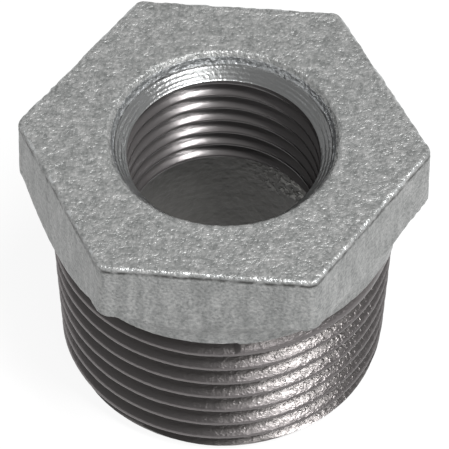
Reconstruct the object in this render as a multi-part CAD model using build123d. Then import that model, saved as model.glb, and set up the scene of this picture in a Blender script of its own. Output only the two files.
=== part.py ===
"""Hexagon reducing bushing for pipes, 1 inch outside thread to 1/2 inch inside thread.

One malleable iron casting. It stands on its threaded end, with the hexagon on top.
All lengths are in millimetres. Z points up the thread axis, with z = 0 at the threaded end.
"""
import math
import os

from build123d import *

os.makedirs("parts", exist_ok=True)

# Overall sizes
height = 29.0
across_flats = 34.5             # at the top, above the draft

# Hexagon head, measured down from the top face
corner_edge_length = 6.7        # straight corner edges above the overhang
corner_radius = 1.0             # where the sides are widest, getting less towards the top
head_draft = 1.5                # degrees by which the cast sides lean in towards the top
top_edge_radius = 0.5
overhang_drop = 0.4             # fall of the underside from the corners to the hollow
underside_radius = 2.0          # hollow between the underside and the neck, made as two bevels
neck_length = 1.4               # cast neck left between the hollow and the cut thread
neck_step = 0.17                # the cast neck stands this much proud of the thread crests

# Extra metal under the head on one side, where the mould was fed and the stub was ground off
feed_shift = 1.3                # the feed cone's axis lies this far from the thread axis
feed_slope = 53.0               # degrees from level

# Outside taper thread, 55 degree pipe form
outer_threads_per_inch = 11
outer_gauge_diameter = 33.249
outer_gauge_length = 10.4       # from the threaded end to the gauge plane
outer_end_chamfer = 1.0
outer_finish_angle = -80.0      # where the full depth groove stops, in degrees round the axis
outer_finish_below_neck = 0.9   # groove centre below the neck at that angle
runout_depth_share = 0.7        # depth that the fading groove starts with
runout_turns = 0.6

# Bore for the inside parallel thread, whose fine grooves are left out: the wall stands at its crests
inner_threads_per_inch = 14
inner_major_diameter = 20.955
inner_thread_end = 13.7         # the cored cavity starts here, down from the top face

# Mouth: a cast recess with a worn edge, and a machined countersink below it
recess_depth = 1.3
recess_diameter = 20.9          # at its bottom, where the countersink starts
recess_draft = 14.0             # degrees that the recess wall leans out
mouth_edge_chamfer = 0.3
countersink_angle = 90.0        # included
countersink_clearance = 0.1     # the countersink ends this far outside the bore wall

# Cored cavity under the inside thread
cavity_wall = 2.8               # metal left behind the outside thread roots at the threaded end
cavity_roof_chamfer = 1.0
cavity_rim_chamfer = 0.6

# Values of the 55 degree thread form
inch = 25.4
depth_per_pitch = 0.640327
crest_flat_per_pitch = 1 / 6
taper_slope = 1 / 32            # growth of the radius for each millimetre of height
cutter_overrun = 0.6            # how far a groove cutter stands out of the wall it cuts


def crest_radius(z):
    """Radius of the outside thread's crests at a height."""
    return outer_gauge_diameter / 2 + (z - outer_gauge_length) * taper_slope


outer_pitch = inch / outer_threads_per_inch
outer_thread_depth = depth_per_pitch * outer_pitch
outer_groove_half = outer_pitch * (1 - crest_flat_per_pitch) / 2
bore_radius = inner_major_diameter / 2 - depth_per_pitch * inch / inner_threads_per_inch

hollow_top = height - corner_edge_length - overhang_drop
hollow_bottom = hollow_top - underside_radius
thread_top = hollow_bottom - neck_length
neck_radius = crest_radius(thread_top) + neck_step
corner_reach = across_flats / math.sqrt(3)


def groove_section(root_radius, depth):
    """The three corners of a groove's cross-section, as radius and height from its centre."""
    open_radius = root_radius + depth + cutter_overrun
    flank_slope = outer_groove_half / outer_thread_depth
    open_half = (depth + cutter_overrun) * flank_slope
    return [(root_radius, 0), (open_radius, -open_half), (open_radius, open_half)]


def one_turn(section, start_z, turns, slope):
    """A solid along one turn of the right-hand helix, or less, its radius growing by slope as it climbs."""
    cone = math.atan(slope)
    edges = []
    for radius, offset in section:
        helix = Edge.make_helix(
            outer_pitch / math.cos(cone),
            turns * outer_pitch,
            radius,
            center=(0, 0, start_z + offset),
            angle=math.degrees(cone),
        )
        edges.append(helix.rotate(Axis.Z, outer_finish_angle))
    sides = [
        Face.make_surface_from_curves(edge, following)
        for edge, following in zip(edges, edges[1:] + edges[:1])
    ]
    ends = [
        Face(Wire.make_polygon([edge @ position for edge in edges], close=True))
        for position in (0, 1)
    ]
    return Solid(Shell(sides + ends))


def outer_grooves():
    """The outside thread's groove, turn by turn down past the end face, and its fading top end."""
    finish_z = thread_top - outer_finish_below_neck
    turns = []
    for count in range(1, math.ceil(finish_z / outer_pitch) + 2):
        start_z = finish_z - count * outer_pitch
        root = crest_radius(start_z) - outer_thread_depth
        turns.append(one_turn(groove_section(root, outer_thread_depth), start_z, 1, taper_slope))
    faded_depth = outer_thread_depth * runout_depth_share
    section = groove_section(crest_radius(finish_z) - faded_depth, faded_depth)
    fade_slope = (faded_depth + neck_step) / (runout_turns * outer_pitch) + taper_slope
    turns.append(one_turn(section, finish_z, runout_turns, fade_slope))
    return turns


def hexagon_prism():
    """The head as a prism with drafted sides, rounded corners and a rounded top edge."""
    depth = height - thread_top
    widening = depth * math.tan(math.radians(head_draft))
    outline = RegularPolygon(across_flats / 2 + widening, 6, major_radius=False)
    outline = fillet(outline.vertices(), corner_radius)
    prism = Pos(0, 0, thread_top) * extrude(outline, depth, taper=head_draft)
    top_edges = prism.faces().sort_by(Axis.Z)[-1].edges()
    return fillet(top_edges, top_edge_radius)


def overhang_envelope():
    """Round body that gives the head its underside, the hollow under it and the neck."""
    beyond = corner_reach + 1
    middle = underside_radius * math.cos(math.radians(45))
    outline = Polyline(
        (0, thread_top),
        (neck_radius, thread_top),
        (neck_radius, hollow_bottom),
        (neck_radius + underside_radius - middle, hollow_bottom + middle),
        (neck_radius + underside_radius, hollow_top),
        (beyond, height - corner_edge_length),
        (beyond, height),
        (0, height),
        close=True,
    )
    return revolve(Plane.XZ * make_face(outline), Axis.Z)


def feed_envelope():
    """Cone off the axis that leaves more metal under one side of the head."""
    corner_line = height - corner_edge_length
    drop = corner_line - thread_top
    wide = corner_reach - feed_shift
    narrow = wide - drop / math.tan(math.radians(feed_slope))
    cone = Cone(narrow, wide, drop, align=(Align.CENTER, Align.CENTER, Align.MIN))
    return Pos(-feed_shift, 0, thread_top) * cone


def head():
    """Hexagon, overhang, hollow and neck, down to where the thread starts."""
    prism = hexagon_prism()
    return (prism & overhang_envelope()) + (prism & feed_envelope())


def shank():
    """Tapered blank for the outside thread, chamfered at its free end."""
    end_radius = crest_radius(0)
    blank = Cone(
        end_radius,
        crest_radius(thread_top),
        thread_top,
        align=(Align.CENTER, Align.CENTER, Align.MIN),
    )
    return chamfer(blank.faces().sort_by(Axis.Z)[0].edges(), outer_end_chamfer)


def bore():
    """Everything that is open inside: cavity, threaded wall, countersink and cast recess."""
    wall_end = height - inner_thread_end
    shoulder = height - recess_depth
    sink_inner = bore_radius + countersink_clearance
    sink_outer = recess_diameter / 2
    sink_depth = (sink_outer - sink_inner) / math.tan(math.radians(countersink_angle / 2))
    mouth_radius = sink_outer + recess_depth * math.tan(math.radians(recess_draft))
    cavity_radius = crest_radius(0) - outer_thread_depth - cavity_wall
    align_low = (Align.CENTER, Align.CENTER, Align.MIN)
    cavity = Cylinder(cavity_radius, wall_end, align=align_low)
    cavity = chamfer(cavity.faces().sort_by(Axis.Z)[-1].edges(), cavity_roof_chamfer)
    flare = Cone(
        cavity_radius + cavity_rim_chamfer, cavity_radius, cavity_rim_chamfer, align=align_low
    )
    wall = Cylinder(bore_radius, shoulder, align=align_low)
    sink = Pos(0, 0, shoulder - sink_depth) * Cone(sink_inner, sink_outer, sink_depth, align=align_low)
    recess = Pos(0, 0, shoulder) * Cone(sink_outer, mouth_radius, recess_depth, align=align_low)
    return cavity + flare + wall + sink + recess


def bushing():
    """The whole casting with its outside thread cut."""
    body = head() + shank() - bore()
    top_face = body.faces().filter_by(GeomType.PLANE).sort_by(Axis.Z)[-1]
    body = chamfer(top_face.inner_wires()[0].edges(), mouth_edge_chamfer)
    for groove in outer_grooves():
        body -= groove
    return body


hex_bushing = bushing()
export_step(hex_bushing, "parts/hex_bushing.step")
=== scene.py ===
"""The look of a hexagon reducing bushing: a zinc coated iron casting with bare threads cut into it.

The casting is one closed skin, grown from bands of rings round the thread axis. The rings of a
thread climb with it, so that its crests and roots stay sharp. Lengths are in millimetres until the
skin becomes a mesh in metres. The stage and the lamps are in metres from the start.
"""

import math

import bmesh
import bpy
import numpy as np
from mathutils import Matrix, Vector, noise


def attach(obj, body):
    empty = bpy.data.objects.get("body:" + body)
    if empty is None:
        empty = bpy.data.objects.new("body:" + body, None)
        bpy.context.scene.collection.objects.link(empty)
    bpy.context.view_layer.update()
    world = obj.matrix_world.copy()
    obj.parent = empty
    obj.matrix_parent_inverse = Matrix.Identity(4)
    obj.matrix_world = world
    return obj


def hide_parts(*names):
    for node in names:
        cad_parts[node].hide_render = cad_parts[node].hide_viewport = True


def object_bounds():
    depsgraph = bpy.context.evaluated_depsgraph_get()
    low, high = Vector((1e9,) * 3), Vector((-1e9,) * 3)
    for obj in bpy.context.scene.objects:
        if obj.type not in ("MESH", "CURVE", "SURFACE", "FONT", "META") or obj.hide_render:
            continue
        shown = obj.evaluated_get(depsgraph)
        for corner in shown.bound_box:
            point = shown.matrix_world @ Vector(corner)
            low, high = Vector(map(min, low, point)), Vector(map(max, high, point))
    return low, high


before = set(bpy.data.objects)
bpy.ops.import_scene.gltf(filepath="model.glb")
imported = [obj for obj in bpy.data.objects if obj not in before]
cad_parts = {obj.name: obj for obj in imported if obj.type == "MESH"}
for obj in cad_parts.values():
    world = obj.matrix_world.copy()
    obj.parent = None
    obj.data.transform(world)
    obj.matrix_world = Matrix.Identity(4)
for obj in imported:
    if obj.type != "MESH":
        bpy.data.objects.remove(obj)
cad_low, cad_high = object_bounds()

MM = 0.001
INCH = 25.4
FULL_TURN = 2 * math.pi
NODE = "hex_bushing"

HEIGHT = cad_high.z / MM

# Hexagon head, measured down from the top face
ACROSS_FLATS = 34.5
CORNER_EDGE_LENGTH = 6.7
CORNER_RADIUS = 1.4         # at the bottom of the draft
HEAD_DRAFT = math.tan(math.radians(1.5))
TOP_EDGE_RADIUS = 0.35
RIM_WIDTH = 0.7             # the top face dips inside a low rim of this width
RIM_HEIGHT = 0.05
CREASE_WIDTH = 0.5          # a shallow crease runs round the sides just below the top edge, with painted shade in it
CREASE_DEPTH = 0.04
OVERHANG_DROP = 0.4         # fall of the underside from the corners to the hollow
OVERHANG_BEYOND = 1.0       # the underside keeps its slope to this far past the corners
UNDERSIDE_RADIUS = 2.0      # hollow between the underside and the neck
NECK_LENGTH = 1.4           # cast neck left between the hollow and the thread
NECK_STEP = 0.17            # how far the neck stands proud of the thread's crests
CAST_EDGE_SOFTNESS = 0.5    # how far the sand mould rounds the edge under the head
CUT_EDGE_SOFTNESS = 0.1     # how far the cutting tools leave their edges round

# Extra metal under one side of the head, as a cone off the thread's axis
FEED_SHIFT = 1.3
FEED_SLOPE = math.radians(53)

# Skirt of cast skin that hangs down over the thread's end on one side
SKIRT_ANGLE = math.radians(-2)
SKIRT_SPREAD = math.radians(36)     # it dies out this far round from its middle
SKIRT_DROP = 1.9
SKIRT_ROUND = 11.0                  # radius of its hollow flare
SKIRT_PROUD = 0.15                  # of the thread's crests, at its lip
SKIRT_LIP_SLOPE = 3.0               # how fast it falls away below the lip
SKIRT_SINK = 1.0                    # how far it sinks into the metal where it dies out

# Outside taper thread
OUTER_PITCH = INCH / 11
OUTER_GAUGE_RADIUS = 33.249 / 2
OUTER_GAUGE_LENGTH = 10.4           # from the threaded end to the gauge plane
OUTER_END_CHAMFER = 1.0
OUTER_FINISH_ANGLE = math.radians(-80)      # where the full depth groove stops
OUTER_FINISH_BELOW_NECK = 0.9       # middle of the groove below the neck at that angle
RUNOUT_DEPTH_SHARE = 0.7            # depth that the fading groove starts with
RUNOUT_TURNS = 0.6
TAPER_SLOPE = 1 / 32

# Inside parallel thread
INNER_PITCH = INCH / 14
INNER_MAJOR_RADIUS = 20.955 / 2
INNER_PHASE_ANGLE = math.radians(98)        # a turn of the groove passes this angle
INNER_PHASE_DEPTH = 12.7                    # at this depth below the top
INNER_THREAD_END = 13.7     # the cored cavity starts here, down from the top
INNER_FADE_START = 26.0     # height of the groove's middle where it starts to fade
INNER_FADE_CLIMB = 0.7      # climb from there to where it has no depth left

# Mouth
RECESS_DEPTH = 1.3
RECESS_RADIUS = 10.45       # at its bottom, where the countersink starts
RECESS_DRAFT = math.tan(math.radians(18))
LEDGE_WIDTH = 0.07
MOUTH_EDGE_RADIUS = 0.4
SINK_CLEARANCE = 0.1        # the countersink ends this far outside the bore wall
TOOL_MARK = 0.04            # depth of the rings that the countersink's tool left
TOOL_FEED = 0.32

# Cored cavity
CAVITY_WALL = 2.8           # metal left behind the outside thread's roots
CAVITY_ROOF_ROUND = 1.0
CAVITY_RIM_CHAMFER = 0.6
BEADS_ANGLE = math.radians(360 + 48)        # middle of a patch of stuck beads, as rings run from 90 to 450
BEADS_SPREAD = math.radians(22)
BEADS_ROWS = 7              # rows at the top of the wall that hold them

# 55 degree thread form
FLANK_SLOPE = math.tan(math.radians(55 / 2))
DEPTH_PER_PITCH = 0.640327
ROOT_ROUNDING = 1 / 10      # of the pitch
CREST_SOFTNESS = 0.12       # of the pitch

OUTER_DEPTH = DEPTH_PER_PITCH * OUTER_PITCH
INNER_DEPTH = DEPTH_PER_PITCH * INNER_PITCH
BORE_RADIUS = INNER_MAJOR_RADIUS - INNER_DEPTH


def outer_crest_radius(z):
    """Radius of the outside thread's crests at a height."""
    return OUTER_GAUGE_RADIUS + (z - OUTER_GAUGE_LENGTH) * TAPER_SLOPE


CORNER_LINE = HEIGHT - CORNER_EDGE_LENGTH
HOLLOW_TOP = CORNER_LINE - OVERHANG_DROP
HOLLOW_BOTTOM = HOLLOW_TOP - UNDERSIDE_RADIUS
THREAD_TOP = HOLLOW_BOTTOM - NECK_LENGTH
NECK_RADIUS = outer_crest_radius(THREAD_TOP) + NECK_STEP
CORNER_REACH = ACROSS_FLATS / math.sqrt(3)
CAVITY_RADIUS = outer_crest_radius(0) - OUTER_DEPTH - CAVITY_WALL
WALL_END = HEIGHT - INNER_THREAD_END
SHOULDER = HEIGHT - RECESS_DEPTH
SINK_RADIUS = BORE_RADIUS + SINK_CLEARANCE
SINK_END = SHOULDER - (RECESS_RADIUS - SINK_RADIUS)
LEDGE_RADIUS = RECESS_RADIUS + LEDGE_WIDTH
LEDGE_TOP = SHOULDER + 2 * LEDGE_WIDTH
MOUTH_RADIUS = LEDGE_RADIUS + RECESS_DEPTH * RECESS_DRAFT + MOUTH_EDGE_RADIUS
TOP_FACE = HEIGHT - RIM_HEIGHT

# The skin's rings: one in two points goes on to the inside
COLUMNS = 420
SEAM_ANGLE = math.pi / 2

# Rows of points in each band of the skin
TOP_ROWS = 35
RIM_ROWS = 6
SIDE_SAMPLES = 260          # heights from which the side's evenly spaced rows are taken
SIDE_ROWS = 32
NECK_ROWS = 9
CHAMFER_ROWS = 6
END_ROWS = 4
CAVITY_ROWS = 16
SINK_ROWS = 18
RECESS_ROWS = 6
ROUND_ROWS = 6              # in the rounded roof of the cavity and the rounded edge of the mouth
THREAD_PHASES = (0.0, 0.10, 0.25, 0.39, 0.46, 0.54, 0.61, 0.75, 0.90)      # in each pitch, from a root

# Crease and top edge, row by row
CREASE_SHAPE = (0.0, 0.7, 1.0, 0.7, 0.0)        # share of its depth
CREASE_MARKS = (0.5, 1.0, 1.0, 0.5, 0.0)        # above zero for painted shade in the crease
EDGE_MARKS = (0.0, -1.0, -1.0, 0.0, 0.5)        # below zero where the edge is worn bright, above zero for painted shade

# How much of the casting's relief each band takes
EDGE_GRAIN = 1.4
FULL_GRAIN = 1.0
SIDE_GRAIN = 0.5
CUT_GRAIN = 0.3
TAPPED_GRAIN = 0.1

# Finishes, in the order of the mesh's material slots
CAST, POOLED, CUT, TURNED, TAPPED, CORED = range(6)


# Shapes, as radii at an angle and a height

def smooth_max(a, b, softness):
    """The larger of two values, with the corner between them rounded."""
    share = np.clip(0.5 + 0.5 * (a - b) / softness, 0, 1)
    return b + (a - b) * share + softness * share * (1 - share)


def smooth_min(a, b, softness):
    """The smaller of two values, with the corner between them rounded."""
    return -smooth_max(-a, -b, softness)


def hexagon_radius(angle, z, inset=0.0):
    """Distance from the axis to the head's drafted side at a height, moved in by an inset."""
    half = ACROSS_FLATS / 2 + (HEIGHT - z) * HEAD_DRAFT - inset
    rounding = CORNER_RADIUS - (z - THREAD_TOP) * HEAD_DRAFT - inset
    sixth, half_sixth = math.radians(60), math.radians(30)
    centre = (half - rounding) / math.cos(half_sixth)
    from_corner = np.abs((angle + half_sixth) % sixth - half_sixth)
    arc_end = np.arctan2(
        rounding * math.sin(half_sixth), centre + rounding * math.cos(half_sixth)
    )
    flat = half / np.cos(half_sixth - from_corner)
    reach = np.clip(rounding**2 - (centre * np.sin(from_corner)) ** 2, 0, None)
    arc = centre * np.cos(from_corner) + np.sqrt(reach)
    return np.where(from_corner < arc_end, arc, flat)


def overhang_radius(z):
    """Radius of the head's nearly level underside, the hollow under it and the neck."""
    in_hollow = np.clip(z, HOLLOW_BOTTOM, HOLLOW_TOP) - HOLLOW_BOTTOM
    hollow = UNDERSIDE_RADIUS - np.sqrt(UNDERSIDE_RADIUS**2 - in_hollow**2)
    level = CORNER_REACH + OVERHANG_BEYOND - NECK_RADIUS - UNDERSIDE_RADIUS
    above = np.clip(z - HOLLOW_TOP, 0, None) * level / OVERHANG_DROP
    return NECK_RADIUS + hollow + above


def feed_radius(angle, z):
    """Distance to the off-axis cone that fills the space under one side of the head."""
    wide = CORNER_REACH - FEED_SHIFT
    cone = wide - (CORNER_LINE - z) / math.tan(FEED_SLOPE)
    return np.sqrt(cone**2 - (FEED_SHIFT * np.sin(angle)) ** 2) - FEED_SHIFT * np.cos(angle)


def skirt_radius(angle, z):
    """Hollow flare of cast metal from the underside down to a lip on the thread, on one side."""
    least = math.cos(SKIRT_SPREAD)
    share = np.clip((np.cos(angle - SKIRT_ANGLE) - least) / (1 - least), 0, 1)
    climbed = z - THREAD_TOP + SKIRT_DROP * share
    flare = SKIRT_ROUND - np.sqrt(SKIRT_ROUND**2 - np.clip(climbed, 0, SKIRT_ROUND) ** 2)
    shape = np.where(climbed > 0, flare, climbed * SKIRT_LIP_SLOPE)
    return outer_crest_radius(z) + SKIRT_PROUD + shape - SKIRT_SINK * (1 - share)


def blank_radius(angle, z):
    """The head's side, underside and neck before the thread is cut."""
    under = smooth_max(overhang_radius(z), feed_radius(angle, z), CAST_EDGE_SOFTNESS)
    under = smooth_max(under, skirt_radius(angle, z), CAST_EDGE_SOFTNESS)
    return smooth_min(hexagon_radius(angle, z), under, CAST_EDGE_SOFTNESS)


def groove_wall(distance, pitch):
    """Rise of a groove's wall from its root, at a distance along the axis from its middle."""
    half_root = ROOT_ROUNDING * pitch
    return (np.sqrt(distance**2 + half_root**2) - half_root) / FLANK_SLOPE


def outer_groove_radius(angle, z):
    """Radius of the outside thread's groove walls, taken on past its crests."""
    finish_z = THREAD_TOP - OUTER_FINISH_BELOW_NECK
    turn = ((angle - OUTER_FINISH_ANGLE) / FULL_TURN) % 1
    climbed = (z - finish_z) / OUTER_PITCH - turn
    nearest = np.minimum(np.round(climbed), 0)
    distance = (climbed - nearest) * OUTER_PITCH
    centre_z = finish_z + (nearest + turn) * OUTER_PITCH
    faded = turn / RUNOUT_TURNS
    runout = RUNOUT_DEPTH_SHARE * OUTER_DEPTH * (1 - faded) - NECK_STEP * faded
    depth = np.where(nearest < 0, OUTER_DEPTH, runout)
    return outer_crest_radius(centre_z) - depth + groove_wall(distance, OUTER_PITCH)


def cut_neck_radius(angle, z):
    """The cast neck with the thread's last groove cut into it, apart from where the skirt hangs."""
    neck = smooth_min(blank_radius(angle, z), outer_groove_radius(angle, z), CUT_EDGE_SOFTNESS)
    return smooth_max(neck, skirt_radius(angle, z), CUT_EDGE_SOFTNESS)


def outer_thread_radius(angle, z):
    """The cut thread below the neck."""
    softness = CREST_SOFTNESS * OUTER_PITCH
    return smooth_min(outer_crest_radius(z), outer_groove_radius(angle, z), softness)


def crest_share(radius, z):
    """How near a point of the outside thread is to its crests: one there and nothing at the roots."""
    return 1 - (outer_crest_radius(z) - radius) / OUTER_DEPTH


def inner_thread_radius(angle, z):
    """The tapped bore, whose groove fades out below the countersink."""
    turn = ((angle - INNER_PHASE_ANGLE) / FULL_TURN) % 1
    phase_z = HEIGHT - INNER_PHASE_DEPTH
    nearest = np.round((z - phase_z) / INNER_PITCH - turn)
    centre_z = phase_z + (nearest + turn) * INNER_PITCH
    fade = INNER_DEPTH * np.maximum((centre_z - INNER_FADE_START) / INNER_FADE_CLIMB, 0)
    groove = INNER_MAJOR_RADIUS - fade - groove_wall(z - centre_z, INNER_PITCH)
    return smooth_max(np.full_like(groove, BORE_RADIUS), groove, CREST_SOFTNESS * INNER_PITCH)


def countersink_radius(z):
    """The lead-in at the top of the tapped bore, at 45 degrees, with the tool's rings in it."""
    climbed = z - SINK_END
    return SINK_RADIUS + climbed - TOOL_MARK * np.sin(climbed / TOOL_FEED * math.pi) ** 2


# Rings and bands

def ring_angles(columns):
    """Angles of a ring's points, with the first one again at the end."""
    return SEAM_ANGLE + np.linspace(0, FULL_TURN, columns + 1)


def quarter_turn(rows):
    """Angles of the rows that round a corner, after the one where it starts."""
    return np.linspace(0, math.pi / 2, rows)[1:]


def place(angle, radius, z):
    """Points at an angle, radius and height, each of which may be one value or many."""
    angle, radius, z = np.broadcast_arrays(angle, radius, z)
    return np.stack([radius * np.cos(angle), radius * np.sin(angle), z], axis=-1)


def climbing_heights(angles, pitch, root_z, root_angle, low, high):
    """Heights of rows that follow a thread round, cut off level at its two ends."""
    turn = (angles - root_angle) / FULL_TURN
    first = math.floor((low - root_z) / pitch - turn.max()) - 1
    last = math.ceil((high - root_z) / pitch - turn.min()) + 1
    starts = np.array([count + phase for count in range(first, last) for phase in THREAD_PHASES])
    heights = root_z + pitch * (starts[:, None] + turn[None, :])
    inside = (heights > low).any(axis=1) & (heights < high).any(axis=1)
    rows = np.clip(heights[inside], low, high)
    level_low, level_high = (np.full((1, len(angles)), value) for value in (low, high))
    return np.vstack([level_low, rows, level_high])


def evenly_along(points, count):
    """Each column of points again, with count points evenly spaced along it."""
    result = np.empty((count, points.shape[1], 3))
    for column in range(points.shape[1]):
        line = points[:, column]
        steps = np.linalg.norm(np.diff(line, axis=0), axis=1)
        walked = np.concatenate([[0], np.cumsum(steps)])
        wanted = np.linspace(0, walked[-1], count)
        for axis in range(3):
            result[:, column, axis] = np.interp(wanted, walked, line[:, axis])
    return result


class Skin:
    """Grows the casting's mesh band by band. Bands that share a ring are welded afterwards."""

    def __init__(self):
        self.mesh = bmesh.new()
        self.grain = self.mesh.verts.layers.float.new("grain")
        self.mark = self.mesh.verts.layers.float.new("mark")

    def ring(self, points, grain, marks):
        """New points of the mesh, with one mark for all of them or one each."""
        ring = []
        for point, mark in zip(points, np.broadcast_to(marks, len(points))):
            vertex = self.mesh.verts.new(point)
            vertex[self.grain] = grain
            vertex[self.mark] = mark
            ring.append(vertex)
        return ring

    def face(self, corners, finish):
        """One smooth face in a finish."""
        face = self.mesh.faces.new(corners)
        face.material_index = finish
        face.smooth = True

    def band(self, rows, finish, grain=0.0, marks=None):
        """Quads between rows of points, in one finish or one for each face, with marks for each row."""
        marks = np.zeros(len(rows)) if marks is None else marks
        rings = [self.ring(row, grain, mark) for row, mark in zip(rows, marks)]
        finishes = np.broadcast_to(finish, (len(rings) - 1, rows.shape[1] - 1))
        for below, above, row in zip(rings, rings[1:], finishes):
            for i, face_finish in enumerate(row):
                self.face((below[i], below[i + 1], above[i + 1], above[i]), int(face_finish))

    def joint(self, fine, coarse, finish):
        """Triangles between a ring and one with half as many points."""
        fine, coarse = self.ring(fine, 0, 0), self.ring(coarse, 0, 0)
        for i in range(len(coarse) - 1):
            a, b, c = fine[2 * i : 2 * i + 3]
            self.face((a, b, coarse[i]), finish)
            self.face((b, coarse[i + 1], coarse[i]), finish)
            self.face((b, c, coarse[i + 1]), finish)


def add_top(skin, angles):
    """Top face with its low rim, and the rounded edge round the hexagon."""
    rim_inner = hexagon_radius(angles, HEIGHT, TOP_EDGE_RADIUS + RIM_WIDTH)
    rim_top = hexagon_radius(angles, HEIGHT, TOP_EDGE_RADIUS)
    share = np.linspace(0, 1, TOP_ROWS)[:, None]
    face = place(angles, MOUTH_RADIUS * (1 - share) + rim_inner * share, TOP_FACE)
    share = np.linspace(0, 1, RIM_ROWS)[1:, None]
    ease = share * share * (3 - 2 * share)
    rim = place(angles, rim_inner * (1 - share) + rim_top * share, TOP_FACE + RIM_HEIGHT * ease)
    bend = [rim[-1]]
    for turn in quarter_turn(len(EDGE_MARKS)):
        z = HEIGHT - TOP_EDGE_RADIUS * (1 - math.cos(turn))
        bend.append(place(angles, hexagon_radius(angles, z, TOP_EDGE_RADIUS * (1 - math.sin(turn))), z))
    skin.band(np.concatenate([face, rim]), CAST, FULL_GRAIN)
    skin.band(np.array(bend), CAST, EDGE_GRAIN, EDGE_MARKS)


def add_head(skin, angles):
    """Side of the hexagon with its crease, its underside and the neck down to the thread."""
    top = HEIGHT - TOP_EDGE_RADIUS
    heights = top - np.linspace(0, CREASE_WIDTH, len(CREASE_SHAPE))[:, None]
    radius = blank_radius(angles, heights) - CREASE_DEPTH * np.array(CREASE_SHAPE)[:, None]
    skin.band(place(angles, radius, heights), CAST, FULL_GRAIN, CREASE_MARKS)
    heights = np.linspace(top - CREASE_WIDTH, HOLLOW_BOTTOM, SIDE_SAMPLES)[:, None]
    side = place(angles, blank_radius(angles, heights), heights)
    skin.band(evenly_along(side, SIDE_ROWS), CAST, SIDE_GRAIN)
    heights = np.linspace(HOLLOW_BOTTOM, THREAD_TOP, NECK_ROWS)[:, None]
    skin.band(place(angles, cut_neck_radius(angles, heights), heights), CAST, SIDE_GRAIN)


def add_neck_step(skin, angles):
    """The level step in from the cast neck to the thread's top row."""
    thread = np.maximum(outer_thread_radius(angles, THREAD_TOP), skirt_radius(angles, THREAD_TOP))
    rows = [place(angles, radius, THREAD_TOP) for radius in (cut_neck_radius(angles, THREAD_TOP), thread)]
    skin.band(np.array(rows), CUT)


def add_outer_thread(skin, angles):
    """Cut thread down to the chamfer, then the chamfer, with marks that rise towards the crests."""
    root_z = THREAD_TOP - OUTER_FINISH_BELOW_NECK
    heights = climbing_heights(
        angles, OUTER_PITCH, root_z, OUTER_FINISH_ANGLE, OUTER_END_CHAMFER, THREAD_TOP
    )
    radius = outer_thread_radius(angles, heights)
    skirt = skirt_radius(angles, heights)
    hung = skirt > radius
    finish = np.where(hung[:-1, :-1] & hung[1:, 1:], CAST, CUT)
    marks = np.where(hung, 0, crest_share(radius, heights))
    skin.band(place(angles, np.maximum(radius, skirt), heights), finish, CUT_GRAIN, marks)
    heights = np.linspace(0, OUTER_END_CHAMFER, CHAMFER_ROWS)[:, None]
    cone = outer_crest_radius(0) - OUTER_END_CHAMFER + heights
    radius = smooth_min(cone, outer_thread_radius(angles, heights), CUT_EDGE_SOFTNESS)
    radius[-1] = outer_thread_radius(angles, heights[-1])
    skin.band(place(angles, radius, heights), CUT, CUT_GRAIN, crest_share(radius, heights))
    return place(angles, radius[0], 0)


def add_end_face(skin, outer, inner, chamfer_ring):
    """Faced end, and the start of the cavity's flare, from where the rings have half the points."""
    share = np.linspace(0, 1, END_ROWS)[:, None, None]
    rim = place(outer, CAVITY_RADIUS + CAVITY_RIM_CHAMFER, 0)
    face = chamfer_ring * (1 - share) + rim * share
    skin.band(face, TURNED)
    flare = place(inner, CAVITY_RADIUS + CAVITY_RIM_CHAMFER / 2, CAVITY_RIM_CHAMFER / 2)
    skin.joint(face[-1], flare, CORED)
    return flare


def add_cavity(skin, angles, flare):
    """Cored cavity up to the tapped bore, with marks where beads stick to its wall."""
    heights = np.linspace(CAVITY_RIM_CHAMFER, WALL_END - CAVITY_ROOF_ROUND, CAVITY_ROWS)
    wall = [flare] + [place(angles, CAVITY_RADIUS, z) for z in heights]
    roof = [
        place(
            angles,
            CAVITY_RADIUS - CAVITY_ROOF_ROUND * (1 - math.cos(turn)),
            WALL_END - CAVITY_ROOF_ROUND * (1 - math.sin(turn)),
        )
        for turn in quarter_turn(ROUND_ROWS)
    ]
    bore_start = place(angles, inner_thread_radius(angles, np.full_like(angles, WALL_END)), WALL_END)
    rows = np.array(wall + roof + [bore_start])
    beads = np.zeros(rows.shape[:2])
    beads[len(wall) - BEADS_ROWS : len(wall)] = np.exp(-(((angles - BEADS_ANGLE) / BEADS_SPREAD) ** 2))
    skin.band(rows, CORED, FULL_GRAIN, beads)


def add_tapped_bore(skin, angles):
    """Inside thread from the cavity's roof to the countersink."""
    phase_z = HEIGHT - INNER_PHASE_DEPTH
    heights = climbing_heights(angles, INNER_PITCH, phase_z, INNER_PHASE_ANGLE, WALL_END, SINK_END)
    radius = inner_thread_radius(angles, heights)
    skin.band(place(angles, radius, heights), TAPPED, TAPPED_GRAIN)
    return place(angles, radius[-1], SINK_END)


def add_countersink(skin, angles, bore_end):
    """Countersink above the tapped bore, from where the rings have all the points, and its ledge."""
    heights = np.linspace(SINK_END, SHOULDER, SINK_ROWS)[1:, None]
    radius = np.maximum(countersink_radius(heights), inner_thread_radius(angles, heights))
    sink = place(angles, radius, heights)
    skin.joint(sink[0], bore_end, TURNED)
    ledge = [
        place(angles, RECESS_RADIUS, SHOULDER + LEDGE_WIDTH),
        place(angles, LEDGE_RADIUS, LEDGE_TOP),
    ]
    skin.band(np.concatenate([sink, ledge]), TURNED)


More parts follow.
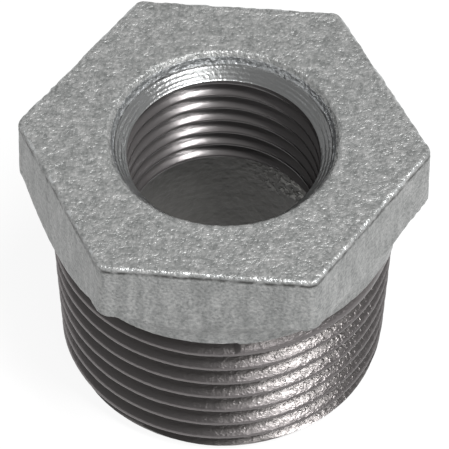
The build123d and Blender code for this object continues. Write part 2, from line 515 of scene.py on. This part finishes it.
def add_mouth(skin, angles):
    """Wall of the cast recess above the ledge, and its rounded edge."""
    heights = np.linspace(LEDGE_TOP, TOP_FACE - MOUTH_EDGE_RADIUS, RECESS_ROWS)[1:]
    wall = [place(angles, LEDGE_RADIUS, LEDGE_TOP)]
    wall += [place(angles, LEDGE_RADIUS + (z - SHOULDER) * RECESS_DRAFT, z) for z in heights]
    bend = [
        place(
            angles,
            MOUTH_RADIUS - MOUTH_EDGE_RADIUS * math.cos(turn),
            TOP_FACE - MOUTH_EDGE_RADIUS * (1 - math.sin(turn)),
        )
        for turn in quarter_turn(ROUND_ROWS)
    ]
    skin.band(np.array(wall), POOLED, FULL_GRAIN)
    skin.band(np.array([wall[-1]] + bend), CAST, FULL_GRAIN)


def build_skin():
    """The whole skin, from the top face down the outside and up the inside to the mouth."""
    skin = Skin()
    outer = ring_angles(COLUMNS)
    inner = ring_angles(COLUMNS // 2)
    add_top(skin, outer)
    add_head(skin, outer)
    add_neck_step(skin, outer)
    chamfer_ring = add_outer_thread(skin, outer)
    flare = add_end_face(skin, outer, inner, chamfer_ring)
    add_cavity(skin, inner, flare)
    bore_end = add_tapped_bore(skin, inner)
    add_countersink(skin, outer, bore_end)
    add_mouth(skin, outer)
    return skin


# Roughness of the casting, as real dents in its skin

WAVE_HEIGHT = 0.07          # up and down
WAVE_LENGTH = 2.4
PIT_HEIGHT = 0.06
PIT_LENGTH = 0.55
WELD_DISTANCE = 0.002
SHARP_ANGLE = math.radians(50)


def relief(point):
    """How far the sand left the skin in or out at a point."""
    wave = WAVE_HEIGHT * noise.noise(point / WAVE_LENGTH)
    return wave + PIT_HEIGHT * noise.noise(point / PIT_LENGTH)


def inside_box(point):
    """The nearest place to a point that is still within the solid's reach."""
    limits = zip(point, cad_low, cad_high)
    return Vector([min(max(value, low / MM), high / MM) for value, low, high in limits])


def finish_mesh(skin):
    """Welds the bands, roughens them and turns the skin to metres."""
    form = skin.mesh
    bmesh.ops.remove_doubles(form, verts=form.verts, dist=WELD_DISTANCE)
    bmesh.ops.recalc_face_normals(form, faces=form.faces)
    form.normal_update()
    moves = [
        vertex.normal * (vertex[skin.grain] * relief(vertex.co)) if vertex[skin.grain] else None
        for vertex in form.verts
    ]
    for vertex, move in zip(form.verts, moves):
        if move is not None:
            vertex.co = inside_box(vertex.co + move)
    bmesh.ops.scale(form, vec=(MM, MM, MM), verts=form.verts)
    mesh = bpy.data.meshes.new("casting_skin")
    form.to_mesh(mesh)
    form.free()
    mesh.set_sharp_from_angle(angle=SHARP_ANGLE)
    return mesh


# Materials

def linear(code):
    """A colour written as sRGB hex, as the linear values that the shaders take."""
    values = [int(code[i : i + 2], 16) / 255 for i in (1, 3, 5)]
    return [v / 12.92 if v <= 0.04045 else ((v + 0.055) / 1.055) ** 2.4 for v in values] + [1.0]


def in_use(sockets, name=None):
    """The first socket that is in use, of those with a name if one is given."""
    return next(socket for socket in sockets if socket.enabled and name in (None, socket.name))


def add(tree, kind, inputs=None, **settings):
    """Adds a shader node with its settings. Inputs are values, sRGB hex colours, sockets or nodes."""
    node = tree.nodes.new("ShaderNode" + kind)
    for name, value in settings.items():
        setattr(node, name, value)
    for name, value in (inputs or {}).items():
        socket = node.inputs[name] if isinstance(name, int) else in_use(node.inputs, name)
        if isinstance(value, bpy.types.Node):
            value = in_use(value.outputs)
        if isinstance(value, bpy.types.NodeSocket):
            tree.links.new(value, socket)
        else:
            socket.default_value = linear(value) if isinstance(value, str) else value
    return node


def new_material(name):
    """A material without nodes, and the tree that they go in."""
    material = bpy.data.materials.new(name)
    material.use_nodes = True
    material.node_tree.nodes.clear()
    return material, material.node_tree


def per_metre(size_mm):
    """A pattern's scale from the real size of what repeats in it."""
    return 1 / (size_mm * MM)


def specks(tree, level_mm, upright_mm, detail=2.0):
    """A random pattern with one real size in the level plane and another up the thread axis."""
    spot = add(tree, "TexCoord").outputs["Object"]
    scale = (per_metre(level_mm), per_metre(level_mm), per_metre(upright_mm))
    spot = add(tree, "Mapping", {"Vector": spot, "Scale": scale})
    return add(tree, "TexNoise", {"Vector": spot, "Scale": 1.0, "Detail": detail})


def dipped_zinc():
    """Hot dipped zinc over sand cast iron: dull light grey, mottled, with a sandy grain that glints.

    Marks above zero give painted shade in the crease, and those below it beads rubbed bright along the
    edge.
    """
    material, tree = new_material("dipped_zinc")
    clouds = specks(tree, level_mm=1.0, upright_mm=4.0, detail=3.0)
    mottle = add(tree, "MapRange", {"Value": clouds, "From Min": 0.33, "From Max": 0.67})
    sand = specks(tree, level_mm=0.32, upright_mm=0.32, detail=2.5)
    light = add(tree, "Mix", {"Factor": mottle, "A": "#959695", "B": "#afafae"}, data_type="RGBA")
    dark = add(tree, "Mix", {"Factor": mottle, "A": "#717372", "B": "#888a89"}, data_type="RGBA")
    raised = add(tree, "MapRange", {"Value": sand, "From Min": 0.3, "From Max": 0.66})
    colour = add(tree, "Mix", {"Factor": raised, "A": dark, "B": light}, data_type="RGBA")

    mark = add(tree, "Attribute", attribute_name="mark").outputs["Fac"]
    patches = specks(tree, level_mm=0.9, upright_mm=0.9)
    patches = add(tree, "MapRange", {"Value": patches, "From Min": 0.3, "From Max": 0.55})
    # Painted shade: marks above zero darken the zinc in patches along the crease under the top edge
    crease = add(tree, "MapRange", {"Value": mark, "From Min": 0.0, "From Max": 1.0})
    painted_crease_shade = add(tree, "Math", {0: crease, 1: patches}, operation="MULTIPLY")
    colour = add(tree, "Mix", {"Factor": painted_crease_shade, "A": colour, "B": "#3e3e3c"}, data_type="RGBA")

    beads = specks(tree, level_mm=0.8, upright_mm=0.8)
    beads = add(tree, "MapRange", {"Value": beads, "From Min": 0.5, "From Max": 0.58})
    edge = add(tree, "MapRange", {"Value": mark, "From Min": 0.0, "From Max": -1.0})
    bright = add(tree, "Math", {0: edge, 1: beads}, operation="MULTIPLY")
    colour = add(tree, "Mix", {"Factor": bright, "A": colour, "B": "#b8baba"}, data_type="RGBA")
    roughness = add(tree, "MapRange", {"Value": bright, "To Min": 0.38, "To Max": 0.22})

    bump = add(tree, "Bump", {"Height": sand, "Distance": 0.15 * MM})
    grit = specks(tree, level_mm=0.15, upright_mm=0.15, detail=1.0)
    bump = add(tree, "Bump", {"Height": grit, "Distance": 0.03 * MM, "Normal": bump})
    surface = {"Base Color": colour, "Metallic": 0.42, "Roughness": roughness, "Normal": bump}
    add(tree, "OutputMaterial", {"Surface": add(tree, "BsdfPrincipled", surface)})
    return material


def pooled_zinc():
    """Zinc that ran together in the mouth: brighter and smoother, with beads that glint."""
    material, tree = new_material("pooled_zinc")
    beads = specks(tree, level_mm=0.4, upright_mm=0.4)
    share = add(tree, "MapRange", {"Value": beads, "From Min": 0.35, "From Max": 0.65})
    colour = add(tree, "Mix", {"Factor": share, "A": "#9fa2a4", "B": "#c2c4c5"}, data_type="RGBA")
    bump = add(tree, "Bump", {"Height": beads, "Distance": 0.17 * MM})
    surface = {"Base Color": colour, "Metallic": 0.75, "Roughness": 0.32, "Normal": bump}
    add(tree, "OutputMaterial", {"Surface": add(tree, "BsdfPrincipled", surface)})
    return material


def die_cut_iron():
    """Malleable iron cut by a die: darker than the zinc, with rubbed crests, and torn on one side.

    The torn flanks glint in short flakes, and the clean ones shine softly where they face the light.
    """
    material, tree = new_material("die_cut_iron")
    mark = add(tree, "Attribute", attribute_name="mark").outputs["Fac"]
    crest = add(tree, "MapRange", {"Value": mark, "From Min": 0.6, "From Max": 0.95})
    colour = add(tree, "Mix", {"Factor": crest, "A": "#6c6968", "B": "#747070"}, data_type="RGBA")

    spot = add(tree, "TexCoord").outputs["Object"]
    side = add(tree, "SeparateXYZ", {"Vector": spot}).outputs["X"]
    torn = add(tree, "MapRange", {"Value": side, "From Min": -9 * MM, "From Max": 12 * MM})
    flakes = specks(tree, level_mm=0.45, upright_mm=0.2)
    flakes = add(tree, "MapRange", {"Value": flakes, "From Min": 0.48, "From Max": 0.66})
    flakes = add(tree, "Math", {0: flakes, 1: torn}, operation="MULTIPLY")
    bump = add(tree, "Bump", {"Height": flakes, "Distance": 0.022 * MM})
    streaks = specks(tree, level_mm=0.25, upright_mm=0.14, detail=1.0)
    bump = add(tree, "Bump", {"Height": streaks, "Distance": 0.017 * MM, "Normal": bump})
    surface = {"Base Color": colour, "Metallic": 1.0, "Roughness": 0.33, "Normal": bump}
    add(tree, "OutputMaterial", {"Surface": add(tree, "BsdfPrincipled", surface)})
    return material


def turned_iron():
    """Malleable iron turned on a lathe: brighter than the thread, with fine rings round the bore."""
    material, tree = new_material("turned_iron")
    rings = specks(tree, level_mm=4.0, upright_mm=0.09)
    bump = add(tree, "Bump", {"Height": rings, "Distance": 0.02 * MM})
    grit = specks(tree, level_mm=0.3, upright_mm=0.3)
    bump = add(tree, "Bump", {"Height": grit, "Distance": 0.05 * MM, "Normal": bump})
    surface = {"Base Color": "#989999", "Metallic": 0.9, "Roughness": 0.28, "Normal": bump}
    add(tree, "OutputMaterial", {"Surface": add(tree, "BsdfPrincipled", surface)})
    return material


def tapped_iron():
    """Malleable iron cut by a tap: smooth flanks that shine where they face the light."""
    material, tree = new_material("tapped_iron")
    streaks = specks(tree, level_mm=1.0, upright_mm=0.15)
    bump = add(tree, "Bump", {"Height": streaks, "Distance": 0.012 * MM})
    surface = {"Base Color": "#605d5d", "Metallic": 0.55, "Roughness": 0.24, "Normal": bump}
    add(tree, "OutputMaterial", {"Surface": add(tree, "BsdfPrincipled", surface)})
    return material


def cored_iron():
    """The cored cavity: dull dark iron, with a patch of pale beads that stuck to its wall."""
    material, tree = new_material("cored_iron")
    grain = specks(tree, level_mm=0.9, upright_mm=0.9, detail=3.0)
    colour = add(tree, "Mix", {"Factor": grain, "A": "#484745", "B": "#605f5c"}, data_type="RGBA")
    beads = specks(tree, level_mm=0.55, upright_mm=0.55)
    beads = add(tree, "MapRange", {"Value": beads, "From Min": 0.5, "From Max": 0.58})
    patch = add(tree, "Attribute", attribute_name="mark").outputs["Fac"]
    beads = add(tree, "Math", {0: patch, 1: beads}, operation="MULTIPLY")
    colour = add(tree, "Mix", {"Factor": beads, "A": colour, "B": "#a3a29e"}, data_type="RGBA")
    bump = add(tree, "Bump", {"Height": grain, "Distance": 0.2 * MM})
    bump = add(tree, "Bump", {"Height": beads, "Distance": 0.2 * MM, "Normal": bump})
    surface = {"Base Color": colour, "Metallic": 0.4, "Roughness": 0.5, "Normal": bump}
    add(tree, "OutputMaterial", {"Surface": add(tree, "BsdfPrincipled", surface)})
    return material


# The piece

def make_casting():
    """The dressed bushing, with its finishes in the order that the skin's faces name them."""
    mesh = finish_mesh(build_skin())
    for finish in (dipped_zinc, pooled_zinc, die_cut_iron, turned_iron, tapped_iron, cored_iron):
        mesh.materials.append(finish())
    piece = bpy.data.objects.new("casting", mesh)
    bpy.context.scene.collection.objects.link(piece)
    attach(piece, "root")
    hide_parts(NODE)
    return piece


# Stage and lamps, in metres

FLOOR_RADII = (0.02, 0.1, 0.4)
SWEEP_RADIUS = 1.2
SWEEP_BEND = 0.15
SWEEP_BEND_STEP = 10        # degrees
SWEEP_HEIGHT = 0.3
SWEEP_SIDES = 72
FLOOR_GAP = 0.00002
BOUNCE_GREY = "#a8a8a8"     # what the floor throws back on to the part
SHADOW_GREY = "#585858"     # how strongly the floor shows the part's shadow
WHITE_LIFT = 0.91           # what is added to that, so that the lit floor is just white
WORLD_STRENGTH = 0.28
LAMP_DISTANCE = 0.9


def matt_paper():
    """Matt coated paper: evenly white to the camera and in reflections, apart from the part's shadow."""
    material, tree = new_material("matt_paper")
    path = add(tree, "LightPath").outputs
    seen = path["Is Camera Ray"]
    for other in ("Is Glossy Ray", "Is Transmission Ray"):
        seen = add(tree, "Math", {0: seen, 1: path[other]}, operation="MAXIMUM")
    colour = add(tree, "Mix", {"Factor": seen, "A": BOUNCE_GREY, "B": SHADOW_GREY}, data_type="RGBA")
    matt = add(tree, "BsdfDiffuse", {"Color": colour})
    lift = add(tree, "Math", {0: seen, 1: WHITE_LIFT}, operation="MULTIPLY")
    glow = add(tree, "Emission", {"Color": "#ffffff", "Strength": lift})
    add(tree, "OutputMaterial", {"Surface": add(tree, "AddShader", {0: matt, 1: glow})})
    return material


def make_stage():
    """A pale floor that bends up into a low round wall."""
    bends = [math.radians(angle) for angle in range(0, 91, SWEEP_BEND_STEP)]
    profile = [(radius, 0.0) for radius in FLOOR_RADII]
    profile += [
        (SWEEP_RADIUS - SWEEP_BEND + SWEEP_BEND * math.sin(b), SWEEP_BEND * (1 - math.cos(b)))
        for b in bends
    ]
    profile.append((SWEEP_RADIUS, SWEEP_HEIGHT))
    angles = np.arange(SWEEP_SIDES) * FULL_TURN / SWEEP_SIDES
    form = bmesh.new()
    rings = [[form.verts.new(spot) for spot in place(angles, r, z - FLOOR_GAP)] for r, z in profile]
    form.faces.new(rings[0])
    for low, high in zip(rings, rings[1:]):
        for i in range(SWEEP_SIDES):
            following = (i + 1) % SWEEP_SIDES
            face = form.faces.new((low[i], low[following], high[following], high[i]))
            face.smooth = True
    mesh = bpy.data.meshes.new("sweep")
    form.to_mesh(mesh)
    form.free()
    mesh.materials.append(matt_paper())
    sweep = bpy.data.objects.new("sweep", mesh)
    bpy.context.scene.collection.objects.link(sweep)


def add_softbox(name, direction, width, length, watts):
    """An oblong lamp, upright lengthwise, that faces the middle of the part from a direction."""
    lamp = bpy.data.lights.new(name, "AREA")
    lamp.shape = "RECTANGLE"
    lamp.size = width
    lamp.size_y = length
    lamp.energy = watts
    holder = bpy.data.objects.new(name, lamp)
    bpy.context.scene.collection.objects.link(holder)
    towards = Vector(direction).normalized()
    holder.location = Vector((0, 0, HEIGHT * MM / 2)) + towards * LAMP_DISTANCE
    holder.rotation_euler = towards.to_track_quat("Z", "Y").to_euler()


def make_light():
    """A plain white world, and a key lamp, a glint and a fill, which the thread's flanks mirror."""
    world = bpy.data.worlds.new("studio")
    world.use_nodes = True
    background = world.node_tree.nodes["Background"]
    background.inputs["Color"].default_value = linear("#ffffff")
    background.inputs["Strength"].default_value = WORLD_STRENGTH
    bpy.context.scene.world = world
    add_softbox("key", direction=(0.35, -0.25, 0.90), width=0.12, length=0.5, watts=8.9)
    add_softbox("glint", direction=(0.40, -0.08, 0.91), width=0.12, length=0.2, watts=1.3)
    add_softbox("fill", direction=(0.42, -0.74, 0.50), width=0.3, length=0.3, watts=1.5)


# The photograph's view
PHOTO_SIDE = 449            # pixels of its square frame, as are the next three
FOCAL_PIXELS = 3002.2
AIM_X = -0.911              # the middle of the top face, right and down from the frame's middle
AIM_Y = -88.527
AZIMUTH = math.radians(4.776)
ELEVATION = math.radians(48.488)
ROLL = math.radians(0.380)
DISTANCE = 286.46           # millimetres from the middle of the top face
SENSOR = 36
CLIP_START = 0.01           # metres
CLIP_END = 10


def make_camera():
    """A camera where the photograph's stood, as the hexagon's corners, the thread and the mouth show."""
    back = Vector(
        (
            math.sin(AZIMUTH) * math.cos(ELEVATION),
            -math.cos(AZIMUTH) * math.cos(ELEVATION),
            math.sin(ELEVATION),
        )
    )
    right = Vector((math.cos(AZIMUTH), math.sin(AZIMUTH), 0))
    up = back.cross(right)
    right, up = (
        right * math.cos(ROLL) + up * math.sin(ROLL),
        up * math.cos(ROLL) - right * math.sin(ROLL),
    )
    forward = (-back - right * (AIM_X / FOCAL_PIXELS) + up * (AIM_Y / FOCAL_PIXELS)).normalized()
    right = forward.cross(up).normalized()
    up = right.cross(forward)
    data = bpy.data.cameras.new("camera")
    data.sensor_width = SENSOR
    data.lens = FOCAL_PIXELS * SENSOR / PHOTO_SIDE
    data.clip_start = CLIP_START
    data.clip_end = CLIP_END
    camera = bpy.data.objects.new("camera", data)
    bpy.context.scene.collection.objects.link(camera)
    turn = Matrix((right, up, -forward)).transposed().to_4x4()
    eye = Vector((0, 0, HEIGHT * MM)) + back * DISTANCE * MM
    camera.matrix_world = Matrix.Translation(eye) @ turn
    bpy.context.scene.camera = camera


make_camera()
make_casting()
make_stage()
make_light()
bpy.context.scene.view_settings.view_transform = "Standard"
